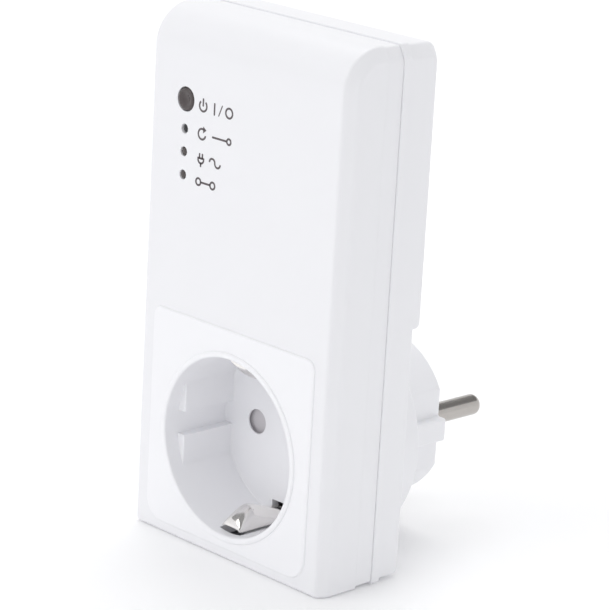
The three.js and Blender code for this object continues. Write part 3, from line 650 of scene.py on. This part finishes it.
def recess_tool():
    """The recess as one solid: a rounded mouth, ledges with softened edges, and a small cove at the floor."""
    rim, wide = insert_low.y, RECESS_R + MM
    lip, ledge_round, cove = 0.5 * MM, 0.35 * MM, 0.35 * MM
    levels = [(RECESS_R + lip, wide, rim - MM)]
    levels += [(RECESS_R + back, wide, rim + deep) for back, deep in quarter_round(lip, 6)]
    levels.append((RECESS_R, wide, LEDGE_Y))
    levels += [(RECESS_R, LEDGE_X + back, LEDGE_Y + deep) for back, deep in quarter_round(ledge_round, 5)]
    for back, deep in reversed(quarter_round(cove, 4)):
        levels.append((RECESS_R - back, LEDGE_X - back, SOCKET_FLOOR - deep))
    return loft("recess", [[Vector((u, y, v)) for u, v in recess_loop(r, flat)] for r, flat, y in levels])


def socket_insert():
    """The raised plate, the cup behind it, and the pivot that the shutter turns on."""
    face, edge = FACE - PLATE_PROUD, 0.45 * MM
    bevel = [(edge * (1 - math.sin(t)), face + PLATE_PROUD * 1.1 * (1 - math.cos(t))) for t in quarter(5)]
    insert = stack("socket_insert_moulding", plate_outline, [*bevel, (0, FACE + 1.05 * MM)])
    rim, bead, crown = insert_low.y, 0.55 * MM, 20.75 * MM
    foot = face + 0.4 * MM
    outer = [(crown + bead * math.sin(t), face - (face - rim) * math.cos(t)) for t in quarter(6)]
    cup = [(0, rim), *outer, (crown + bead, foot), (CUP_R, foot), (CUP_R, FLOOR_BACK), (0, FLOOR_BACK)]
    join(insert, turned("cup", cup, sides=160))

    # Behind the floor: a pocket for the shutter, and a wider relief that leaves each pin hole a thin edge
    pocket_y, behind = SOCKET_FLOOR + 0.9 * MM, FLOOR_BACK + MM
    relief_y, relief_r = SOCKET_FLOOR + 0.4 * MM, PIN_HOLE_R + MM
    tools = [recess_tool(), round_tool("pocket", POCKET_R, pocket_y, behind)]
    for side in (-1, 1):
        x = side * PIN_X
        tools.append(flared_hole("pin_hole", PIN_HOLE_R, SOCKET_FLOOR, behind, 0.1 * MM, x, 0))
        tools.append(round_tool("relief", relief_r, relief_y, behind, x, 64))
        for near, far, rear in ((16.4 * MM, 22.6 * MM, SOCKET_FLOOR), (16.4 * MM, 18.9 * MM, behind)):
            z0, z1 = sorted((side * near, side * far))
            slot = rounded_rect(-SLOT_X, SLOT_X, z0, z1, 0.25 * MM, steps=3)
            tools.append(stack("slot", slot, [(0, FACE + 1.8 * MM), (0, rear)]))
    cut(insert, *tools)
    join(insert, round_tool("pivot", 1.9 * MM, pocket_y - 0.4 * MM, insert_high.y, 0, 40))
    return finish_piece(insert, CASE, "socket_white", ["socket_insert"])


def round_tool(name, radius, y0, y1, x=0.0, sides=96):
    return turned(name, [(0, y0), (radius, y0), (radius, y1), (0, y1)], x, 0, sides)


def bent_strip(name, path, thickness, half_width, side, ease):
    """A strip of sheet metal bent in the (y, r) plane: its corners are eased and its long edges softened."""
    points = eased(path, ease)
    half, edge = thickness / 2, thickness * 0.3
    outline = rounded_rect(-half_width, half_width, -half, half, edge, steps=3)(0)
    loops = []
    for i, point in enumerate(points):
        along = (points[min(i + 1, len(points) - 1)] - points[max(i - 1, 0)]).normalized()
        normal = Vector((-along.y, along.x))
        loops.append([])
        for u, v in outline:
            place = point + normal * v
            loops[-1].append(Vector((u, place.x, side * place.y)))
    return loft(name, loops)


def arched(width, edge, crest, power=2.5, steps=24):
    """Half a rounded arch across a clip, as (x, r): its feet stand at r = edge and it reaches in to crest."""
    points = []
    for k in range(steps + 1):
        a = math.pi * k / steps
        u = math.copysign(abs(math.cos(a)) ** (2 / power), math.cos(a))
        points.append((width * u, edge + (crest - edge) * math.sin(a) ** (2 / power)))
    return points


# The earth clips' form, in millimetres: how far back from the face, how near the arch comes to the socket's
# axis, and how far from the axis its long edges lie
CLIP_FORM = (
    (2.1, 18.3, 19.1),
    (2.9, 17.0, 19.2),
    (4.3, 15.8, 19.2),
    (5.8, 14.9, 19.2),
    (6.9, 14.45, 19.2),
    (8.1, 14.65, 19.2),
    (11.0, 15.6, 19.2),
    (14.0, 16.6, 19.1),
    (15.6, 17.1, 18.6),
    (16.6, 17.35, 18.1),
    (20.4, 17.35, 17.95),
)


def clip_edge(back):
    """How far from the axis a clip's long edges lie, this far back from the face."""
    for (y0, _, edge0), (y1, _, edge1) in zip(CLIP_FORM, CLIP_FORM[1:]):
        if back <= y1:
            return edge0 + (edge1 - edge0) * (back - y0) / (y1 - y0)
    return CLIP_FORM[-1][2]


def earth_clips():
    """Each clip is pressed into an arch that swells out of its slot to a ridge and sinks again towards the
    floor, where it runs back through as a flat strip."""
    sheet, least = 0.35 * MM, 0.05 * MM
    line = eased([(back, crest) for back, crest, _ in CLIP_FORM], 0.9)
    for side, node in ((1, "earth_clip_top"), (-1, "earth_clip_bottom")):
        _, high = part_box(node)
        loops = []
        for point in line:
            edge, crest = clip_edge(point.x) * MM, point.y * MM
            outside = arched(high.x, edge, crest)
            inside = arched(high.x - sheet, edge, min(crest + sheet, edge - least))
            y = min(FACE + point.x * MM, high.y)
            loops.append([Vector((u, y, side * r)) for u, r in outside + inside[::-1]])
        clip = finish_piece(loft(f"{node}_strap", loops), node, "nickel", [node], sharp=50)
        clip.data.materials[0] = CLIP_METAL


# ---- Plug ------------------------------------------------------------------------------------
def plug_body():
    """The plug with its flange, hollow from inside, grooved for the two earth strips."""
    edge, flange_end = 1.0 * MM, plug_low.y + 2.4 * MM
    levels = [(0, flange_end)]
    levels += [(back, -deep) for back, deep in reversed(quarter_round(edge, 7))]
    body = stack("plug_body_moulding", plug_outline, levels)
    join(body, round_tool("flange", 21.8 * MM, plug_low.y, flange_end + 0.01 * MM))
    half_x, half_z = 13.5 * MM, 13.2 * MM
    hollow = rounded_rect(-half_x, half_x, -half_z, half_z, 5 * MM)
    tools = [stack("inside", hollow, [(0, plug_low.y - MM), (0, -3.2 * MM)])]
    collar_r, bead = 4.3 * MM, 0.35 * MM
    collar = [(collar_r + bead * math.cos(a), bead * math.sin(a)) for a in full_turn(12)]
    flare = 0.3 * MM
    groove_levels = [(0, plug_low.y - MM), (0, -flare), (-flare, 0.1 * MM), (-flare, MM)]
    for side in (-1, 1):
        tools.append(flared_hole("pin_hole", 2.43 * MM, 0, -5 * MM, 0.25 * MM, side * PIN_X, 0, 48))
        tools.append(turned("collar_groove", collar, side * PIN_X, 0, 64, ring=True))
        z0, z1 = sorted((side * 15.45 * MM, side * 22 * MM))
        groove = rounded_rect(-3.3 * MM, 3.3 * MM, z0, z1, 0.35 * MM, steps=3)
        tools.append(stack("groove", groove, groove_levels))
        z0, z1 = sorted((side * 14.05 * MM, side * 16 * MM))
        pocket = rounded_rect(-3.2 * MM, 3.2 * MM, z0, z1, 0.2 * MM, steps=3)
        tools.append(stack("pocket", pocket, [(0, -2.55 * MM), (0, -1.3 * MM)]))
    cut(body, *tools)
    return finish_piece(body, CASE, "case_white", ["plug_body"])


def plug_pins():
    """Round pins with a rounded nose, held by a collar inside the plug."""
    radius, collar_r, nose, tip_r = 2.4 * MM, 3.6 * MM, 1.5 * MM, 0.9 * MM
    collar_y0, collar_y1, soft_end = -5.5 * MM, -3.5 * MM, 0.3 * MM
    for side, place in ((-1, "left"), (1, "right")):
        low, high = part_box(f"plug_pin_{place}")
        shoulder = high.y - nose
        profile = [(0, low.y), (radius - soft_end, low.y), (radius, low.y + soft_end)]
        profile += [(radius, collar_y0), (collar_r, collar_y0), (collar_r, collar_y1), (radius, collar_y1)]
        for t in quarter(10):
            profile.append((tip_r + (radius - tip_r) * math.cos(t), shoulder + nose * math.sin(t)))
        profile.append((0, high.y))
        pin = turned(f"plug_pin_{place}_turned", profile, side * PIN_X, 0, 64)
        finish_piece(pin, CASE, "nickel", [f"plug_pin_{place}"])


def plug_strips():
    for side, place in ((1, "top"), (-1, "bottom")):
        node = f"plug_earth_strip_{place}"
        low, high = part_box(node)
        lie, end = 16.12 * MM, high.y - 0.38 * MM
        path = [(low.y, lie), (-14.8 * MM, lie), (-13.6 * MM, lie), (end, lie), (end, 14.4 * MM)]
        strip = bent_strip(f"{node}_bent", path, 0.75 * MM, high.x, side, 1.1 * MM)
        finish_piece(strip, CASE, "nickel", [node])


# ---- Controls --------------------------------------------------------------------------------
def on_off_button():
    """A round cap with a dished middle, held by a flange behind the front wall."""
    z, face = (button_low.z + button_high.z) / 2, button_low.y
    radius, flange_r, stem_r, edge = 2.55 * MM, 4 * MM, 1.5 * MM, 0.55 * MM
    dish_r, dish_deep, shallow = 1.5 * MM, 0.5 * MM, 0.02 * MM
    dish = [(dish_r * s, face + dish_deep * (1 - s**2) + shallow) for s in (0, 0.25, 0.5, 0.75, 1)]
    rounded = [(radius - back, face + deep) for back, deep in quarter_round(edge, 6)]
    flange_y0, flange_y1 = FACE + WALL + 0.3 * MM, FACE + WALL + 1.2 * MM
    profile = [*dish, *rounded, (radius, flange_y0), (flange_r, flange_y0), (flange_r, flange_y1)]
    profile += [(stem_r, flange_y1), (stem_r, button_high.y), (0, button_high.y)]
    cap = turned("on_off_button_cap", profile, CONTROL_X, z, 64)
    finish_piece(cap, "on_off_button", "button_grey", ["on_off_button"])


def light_guides():
    """Each has a slightly domed tip, a flange behind the front wall and a stem that widens at its end."""
    radius, dome = 0.98 * MM, 0.35 * MM
    flange_y0, flange_y1 = FACE + WALL + 0.3 * MM, FACE + WALL + 1.3 * MM
    for node in ("power_light_guide", "link_light_guide"):
        low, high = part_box(node)
        z, flange_r = (low.z + high.z) / 2, high.x - CONTROL_X
        lens = [(radius * math.sin(t), low.y + dome * (1 - math.cos(t))) for t in quarter(6)]
        profile = [*lens, (radius, flange_y0), (flange_r, flange_y0), (flange_r, flange_y1)]
        profile += [(0.85 * MM, flange_y1), (0.9 * MM, high.y - MM), (1.2 * MM, high.y), (0, high.y)]
        guide = turned(f"{node}_lens", profile, CONTROL_X, z, 40)
        finish_piece(guide, CASE, "clear_plastic", [node])


def reboot_plunger():
    low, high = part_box("reboot_switch_plunger")
    z, radius = (low.z + high.z) / 2, 0.9 * MM
    nose = [(radius * math.sin(t), low.y + 0.4 * MM * (1 - math.cos(t))) for t in quarter(6)]
    plunger = turned("reboot_plunger_pin", [*nose, (radius, high.y), (0, high.y)], CONTROL_X, z, 32)
    finish_piece(plunger, "reboot_plunger", "black_plastic", ["reboot_switch_plunger"])


# ---- Network jack ----------------------------------------------------------------------------
def network_jack():
    mouth = jack_low.x
    z = (jack_low.z + jack_high.z) / 2
    shell = stack_x(
        "ethernet_jack_shell",
        rounded_rect(jack_low.y, jack_high.y, jack_low.z, jack_high.z, 0.4 * MM),
        slab_levels(mouth, jack_high.x, 0.3 * MM, 0.2 * MM, 3),
    )
    plug_space = rounded_rect(FACE + 5.7 * MM, FACE + 13 * MM, z - 5.95 * MM, z + 5.95 * MM, 0.25 * MM)
    latch_space = rounded_rect(FACE + 12.5 * MM, FACE + 15.6 * MM, z - 3.2 * MM, z + 3.2 * MM, 0.2 * MM)
    flared = [(-0.5 * MM, mouth - MM), (-0.5 * MM, mouth - 0.01 * MM), (0, mouth + 0.6 * MM)]
    cut(
        shell,
        stack_x("plug_space", plug_space, [*flared, (0, mouth + 12.4 * MM)]),
        stack_x("latch_space", latch_space, [*flared, (0, mouth + 9.9 * MM)]),
    )
    finish_piece(shell, CASE, "tinned_steel", ["ethernet_jack"])

    liner_wall = 0.35 * MM
    outer = rounded_rect(FACE + 5.72 * MM, FACE + 12.98 * MM, z - 5.93 * MM, z + 5.93 * MM, 0.25 * MM)
    mouth_in = mouth + 0.9 * MM
    inner_end = mouth + 12.2 * MM
    liner = stack_x("ethernet_jack_liner", outer, [(0, mouth_in), (0, inner_end)])
    slot = rounded_rect(FACE + 12 * MM, FACE + 14 * MM, z - 3.15 * MM, z + 3.15 * MM, 0.2 * MM)
    cut(
        liner,
        stack_x("hollow", outer, [(liner_wall, mouth_in - MM), (liner_wall, inner_end - liner_wall)]),
        stack_x("slot", slot, [(0, mouth_in - MM), (0, inner_end - 2 * MM)]),
    )
    finish_piece(liner, CASE, "black_plastic")


def jack_contacts():
    """Eight sprung wires: each enters low at the mouth, bends and slopes back to the comb."""
    low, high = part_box("ethernet_jack_contacts")
    z_mid = (low.z + high.z) / 2
    comb_x, pitch, radius = high.x - 1.4 * MM, 1.27 * MM, 0.2 * MM
    comb = stack_x(
        "ethernet_contact_comb",
        rounded_rect(low.y + 0.05 * MM, high.y, z_mid - 5.15 * MM, z_mid + 5.15 * MM, 0.15 * MM),
        slab_levels(comb_x, high.x, 0.1 * MM, 0.1 * MM, 3),
    )
    finish_piece(comb, CASE, "brass_contact", ["ethernet_jack_contacts"])
    seat = high.y - 0.4 * MM
    route = [
        (low.x + 0.3 * MM, low.y + 0.75 * MM),
        (low.x + 0.05 * MM + radius, low.y + 0.3 * MM),
        (low.x + 0.9 * MM, low.y + 0.22 * MM),
        (comb_x - 1.0 * MM, seat),
        (comb_x + 0.3 * MM, seat),
    ]
    wire_round = [(radius * math.cos(a), radius * math.sin(a)) for a in full_turn(10)]
    for i in range(8):
        z = z_mid + (i - 3.5) * pitch
        loops = []
        for k, (x, y) in enumerate(route):
            ahead, behind = Vector(route[min(k + 1, len(route) - 1)]), Vector(route[max(k - 1, 0)])
            along = (ahead - behind).normalized()
            normal = Vector((-along.y, along.x))
            loops.append([Vector((x + normal.x * u, y + normal.y * u, z + v)) for u, v in wire_round])
        wire = loft(f"ethernet_contact_wire_{i + 1}", loops)
        finish_piece(wire, CASE, "brass_contact", sharp=60)


# ---- Printed marks ---------------------------------------------------------------------------
INK_DEEP = 0.03 * MM
LINE = 0.44  # width of the marks' lines, in millimetres


def flat_shape(outline):
    """One inked shape from its (x, z) points, a hair proud of the front face."""
    def loop(y):
        return [Vector((CONTROL_X + u * MM, y, v * MM)) for u, v in outline]

    return loft("ink", [loop(FACE - INK_DEEP), loop(FACE + INK_DEEP)])


def stroke(x0, z0, x1, z1, width=LINE):
    along = Vector((x1 - x0, z1 - z0)).normalized()
    side = Vector((-along.y, along.x)) * width / 2
    ends = [(Vector((x0, z0)), -1), (Vector((x1, z1)), 1)]
    points = []
    for centre, way in ends:
        for k in range(7):
            a = math.pi * (k / 6 - 0.5)
            points.append(centre + way * (along * math.cos(a) * width / 2 + side * math.sin(a)))
    return flat_shape([(p.x, p.y) for p in points])


def band_arc(cx, cz, radius, start, end, width=LINE):
    steps = max(int(abs(end - start) / 9), 3)
    outer = arc((cx, cz), radius + width / 2, start, end, steps)
    inner = arc((cx, cz), radius - width / 2, end, start, steps)
    return flat_shape(outer + inner)


def full_ring(cx, cz, radius, width=LINE):
    def loop(r, y):
        points = [(cx + r * math.cos(a), cz + r * math.sin(a)) for a in full_turn(40)]
        return [Vector((CONTROL_X + u * MM, y, v * MM)) for u, v in points]

    near, far = FACE - INK_DEEP, FACE + INK_DEEP
    small, large = radius - width / 2, radius + width / 2
    return loft("ink", [loop(small, near), loop(large, near), loop(large, far), loop(small, far)], ring=True)


def merged(name, shapes):
    """Several inked shapes as one piece."""
    whole = bmesh.new()
    for shape in shapes:
        whole.from_mesh(shape.data)
        bpy.data.objects.remove(shape)
    mesh = bpy.data.meshes.new(name)
    whole.to_mesh(mesh)
    whole.free()
    obj = bpy.data.objects.new(name, mesh)
    bpy.context.scene.collection.objects.link(obj)
    return obj


def printed_marks():
    """Plain equipment symbols beside the controls: on and off, restart, mains power and link.
    Their x is counted from the line of the controls."""
    left, tall = 5.6, 1.15
    z_on, z_restart, z_power, z_link = 73.0, 66.9, 61.4, 56.4
    arrow = [(left + 0.35, z_restart + 1.75), (left + 0.35, z_restart + 0.25), (left + 1.35, z_restart + 1.0)]
    marks = {
        "on_off_mark": [
            band_arc(left, z_on, tall, 130, 410),
            stroke(left, z_on + 0.1, left, z_on + 1.5),
            stroke(left + 3.6, z_on - tall, left + 3.6, z_on + tall),
            stroke(left + 5.0, z_on - tall, left + 6.0, z_on + tall, 0.28),
            full_ring(left + 8.2, z_on, tall - 0.1),
        ],
        "restart_mark": [
            band_arc(left, z_restart, tall, 60, 350),
            flat_shape(arrow),
            stroke(left + 3.4, z_restart, left + 7.6, z_restart),
            full_ring(left + 8.5, z_restart, 0.62),
        ],
        "power_mark": [
            band_arc(left, z_power, 0.9, 180, 360),
            stroke(left - 0.9, z_power + 0.2, left + 0.9, z_power + 0.2),
            stroke(left - 0.45, z_power + 0.3, left - 0.45, z_power + 1.1),
            stroke(left + 0.45, z_power + 0.3, left + 0.45, z_power + 1.1),
            stroke(left, z_power - 0.9, left, z_power - 1.5),
            band_arc(left + 3.6, z_power, 0.85, 0, 180),
            band_arc(left + 5.3, z_power, 0.85, 180, 360),
        ],
        "link_mark": [
            full_ring(left - 0.5, z_link, 0.75),
            stroke(left + 0.35, z_link, left + 3.2, z_link),
            full_ring(left + 4.0, z_link, 0.75),
        ],
    }
    for name, shapes in marks.items():
        mark = merged(name, shapes)
        mark.data.materials.append(INK)
        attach(mark, CASE)


# ---- The rest of the CAD nodes -----------------------------------------------------------------
def dress_frame_nodes():
    for row in frame["record"]["subparts"]:
        node = frame["nodes"][row["node"]]
        look = LOOKS[row["material_slot"]]
        if node.material_slots:
            node.material_slots[0].material = look
        else:
            node.data.materials.append(look)


# ---- Setting -----------------------------------------------------------------------------------
def floor():
    """A plain pale dish: flat under the object and curving up far behind it."""
    ground = BOTTOM - 0.2 * MM
    flat_r, top_r, rise = 1.1, 1.9, 1.2
    profile = [(0.0, 0.0), (flat_r * 0.5, 0.0), (flat_r, 0.0)]
    profile += [(flat_r + (top_r - flat_r) * math.sin(t), rise * (1 - math.cos(t))) for t in quarter(12)][1:]
    turn = full_turn(96)
    loops = [[Vector((r * math.cos(a), r * math.sin(a), ground + h)) for a in turn] for r, h in profile]
    dish = loft("floor", loops, capped=False)
    dish.data.shade_smooth()
    glow = {"Emission_Color": (1, 1, 1, 1), "Emission_Strength": 0.05}
    look = principled("floor_paper", (0.94, 0.94, 0.945), 0.9, **glow)
    fibres = texture(look, "ShaderNodeTexNoise", 300, Detail=4.0)
    add_bump(look, fibres.outputs["Fac"], 0.05, 0.02 * MM)
    dish.data.materials.append(look)


def area_light(name, place, aim, size, power, colour=(1, 1, 1)):
    lamp = bpy.data.lights.new(name, "AREA")
    lamp.shape = "RECTANGLE"
    lamp.size, lamp.size_y = size
    lamp.energy = power
    lamp.color = colour
    obj = bpy.data.objects.new(name, lamp)
    obj.location = place
    obj.rotation_euler = (Vector(aim) - Vector(place)).to_track_quat("-Z", "Y").to_euler()
    bpy.context.scene.collection.objects.link(obj)


def lights():
    world = bpy.data.worlds.new("studio")
    world.use_nodes = True
    background = world.node_tree.nodes["Background"]
    background.inputs["Color"].default_value = (0.985, 0.99, 1.0, 1)
    background.inputs["Strength"].default_value = 0.64
    # The room is dimmer in reflections, so that bare metal looks dark between the lamps and the floor
    dim = world.node_tree.nodes.new("ShaderNodeBackground")
    dim.inputs["Color"].default_value = (0.985, 0.99, 1.0, 1)
    dim.inputs["Strength"].default_value = 0.3
    kind = world.node_tree.nodes.new("ShaderNodeLightPath")
    blend = world.node_tree.nodes.new("ShaderNodeMixShader")
    links = world.node_tree.links
    links.new(kind.outputs["Is Glossy Ray"], blend.inputs["Fac"])
    links.new(background.outputs["Background"], blend.inputs[1])
    links.new(dim.outputs["Background"], blend.inputs[2])
    links.new(blend.outputs["Shader"], world.node_tree.nodes["World Output"].inputs["Surface"])
    bpy.context.scene.world = world
    middle = (0, FACE, CENTRE_TOP)
    area_light("key", (-0.7, -2.0, 1.5), middle, (1.8, 1.8), 22.0)
    area_light("top", (-0.35, 0.35, 1.2), (0, 0, 0), (0.9, 0.9), 6.2)
    bpy.context.scene.cycles.diffuse_bounces = 10
    bpy.context.scene.cycles.max_bounces = 16
    bpy.context.scene.view_settings.view_transform = "Standard"
    bpy.context.scene.view_settings.exposure = 0.0


def camera():
    """Looks at the front and right side from above, turned a little about its own axis."""
    azimuth, elevation, roll = (math.radians(a) for a in (45.46, 16.25, -3.23))
    distance, shift_right, shift_up = 0.627, 14.93 * MM, 31.76 * MM
    socket_centre = Vector((0, FACE, 0))
    level = math.cos(elevation)
    back = Vector((math.sin(azimuth) * level, -math.cos(azimuth) * level, math.sin(elevation)))
    right = Vector((math.cos(azimuth), math.sin(azimuth), 0))
    up = back.cross(right)
    place = socket_centre + back * distance + right * shift_right + up * shift_up
    turned_right = right * math.cos(roll) - up * math.sin(roll)
    turned_up = right * math.sin(roll) + up * math.cos(roll)
    data = bpy.data.cameras.new("camera")
    data.sensor_width = 36
    data.lens = 171.3
    data.clip_start, data.clip_end = 0.05, 20
    obj = bpy.data.objects.new("camera", data)
    turn = Matrix((turned_right, turned_up, back)).transposed()
    obj.matrix_world = Matrix.Translation(place) @ turn.to_4x4()
    bpy.context.scene.collection.objects.link(obj)
    bpy.context.scene.camera = obj


camera()
lights()
floor()
dress_frame_nodes()
front_cover()
middle_band()
back_cover()
case_screws()
socket_insert()
earth_clips()
plug_body()
plug_pins()
plug_strips()
on_off_button()
light_guides()
reboot_plunger()
network_jack()
jack_contacts()
printed_marks()
